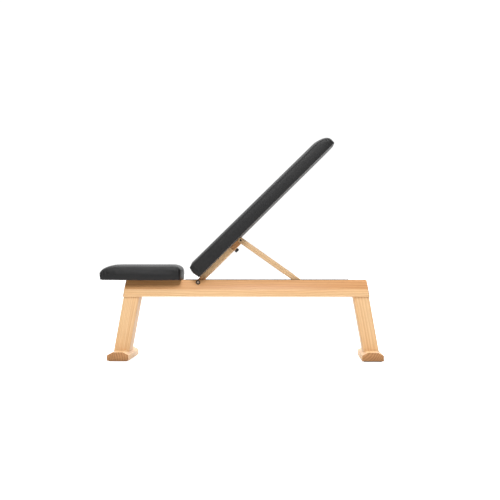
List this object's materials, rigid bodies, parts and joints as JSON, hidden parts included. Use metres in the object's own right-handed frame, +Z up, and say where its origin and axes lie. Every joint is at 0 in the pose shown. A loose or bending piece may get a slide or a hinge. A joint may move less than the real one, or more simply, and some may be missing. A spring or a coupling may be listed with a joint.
{
  "type": "adjustable weight bench",
  "caption": "Free-standing wooden exercise bench with a fixed padded seat and a padded back that reclines from flat to steep on an axle, propped by a swinging strut",
  "frame": {"origin": "centre of the whole bench's bounding box in plan, on the floor", "axes": "+Z up, +X from the seat end to the back end, Y across the bench"},
  "size_m": [1.3067, 0.42, 1.0257],
  "materials": {
    "oiled_ash": "satin",
    "hidden_wood": "matte",
    "charcoal_leather": "satin",
    "plywood": "matte",
    "backing_cloth": "matte",
    "black_steel": "satin",
    "bright_steel": "satin",
    "black_rubber": "matte",
    "brown_felt": "matte"
  },
  "bodies": {
    "frame": {"rail_near": "oiled_ash", "rail_far": "oiled_ash", "leg_seat_end": "oiled_ash", "leg_back_end": "oiled_ash", "foot_seat_end": "oiled_ash", "foot_back_end": "oiled_ash", "leg_dowel_seat_end_upper": "hidden_wood", "leg_dowel_seat_end_lower": "hidden_wood", "leg_dowel_back_end_upper": "hidden_wood", "leg_dowel_back_end_lower": "hidden_wood", "foot_bolt_seat_end_near": "bright_steel", "foot_bolt_seat_end_far": "bright_steel", "foot_bolt_back_end_near": "bright_steel", "foot_bolt_back_end_far": "bright_steel", "foot_glide_seat_end_near": "black_rubber", "foot_glide_seat_end_far": "black_rubber", "foot_glide_back_end_near": "black_rubber", "foot_glide_back_end_far": "black_rubber", "cross_tie_front": "oiled_ash", "cross_tie_rear": "oiled_ash", "cross_tie_centre": "oiled_ash", "rack_near": "oiled_ash", "rack_far": "oiled_ash", "rack_screw_near_front": "bright_steel", "rack_screw_near_rear": "bright_steel", "rack_screw_far_front": "bright_steel", "rack_screw_far_rear": "bright_steel", "rest_strip_near": "brown_felt", "rest_strip_far": "brown_felt", "hinge_axle": "bright_steel", "hinge_bush_near": "black_steel", "hinge_bush_far": "black_steel", "hinge_spacer_near": "bright_steel", "hinge_spacer_far": "bright_steel", "hinge_spacer_centre": "bright_steel", "seat_pad": "charcoal_leather", "seat_board": "plywood", "seat_backing": "backing_cloth", "seat_screw_front": "bright_steel", "seat_screw_rear": "bright_steel"},
    "back": {"back_pad": "charcoal_leather", "back_board": "plywood", "back_backing": "backing_cloth", "back_slat_near": "oiled_ash", "back_slat_far": "oiled_ash", "pivot_block": "oiled_ash", "slat_screw_near_lower": "bright_steel", "slat_screw_near_upper": "bright_steel", "slat_screw_far_lower": "bright_steel", "slat_screw_far_upper": "bright_steel", "back_buffer": "black_rubber", "buffer_washer": "bright_steel", "buffer_screw": "bright_steel"},
    "strut": {"strut_bar_near": "oiled_ash", "strut_bar_far": "oiled_ash", "strut_foot_rung": "bright_steel", "strut_mid_rung": "hidden_wood", "strut_pin": "black_steel", "strut_washer_near": "black_steel", "strut_washer_far": "black_steel"}
  },
  "joints": [
    {"name": "back_recline", "type": "hinge", "parent": "frame", "child": "back", "pos_m": [-0.1985, 0, 0.3565], "axis": [0, -1, 0], "range_deg": [-44.7, 30.3]},
    {"name": "strut_swing", "type": "hinge", "parent": "back", "child": "strut", "pos_m": [-0.00054, 0, 0.5524], "axis": [0, -1, 0], "range_deg": [-52.3, 77.1]}
  ],
  "couplings": [
    {"joint": "strut_swing", "follows": "back_recline", "ratio": -1.7226}
  ]
}
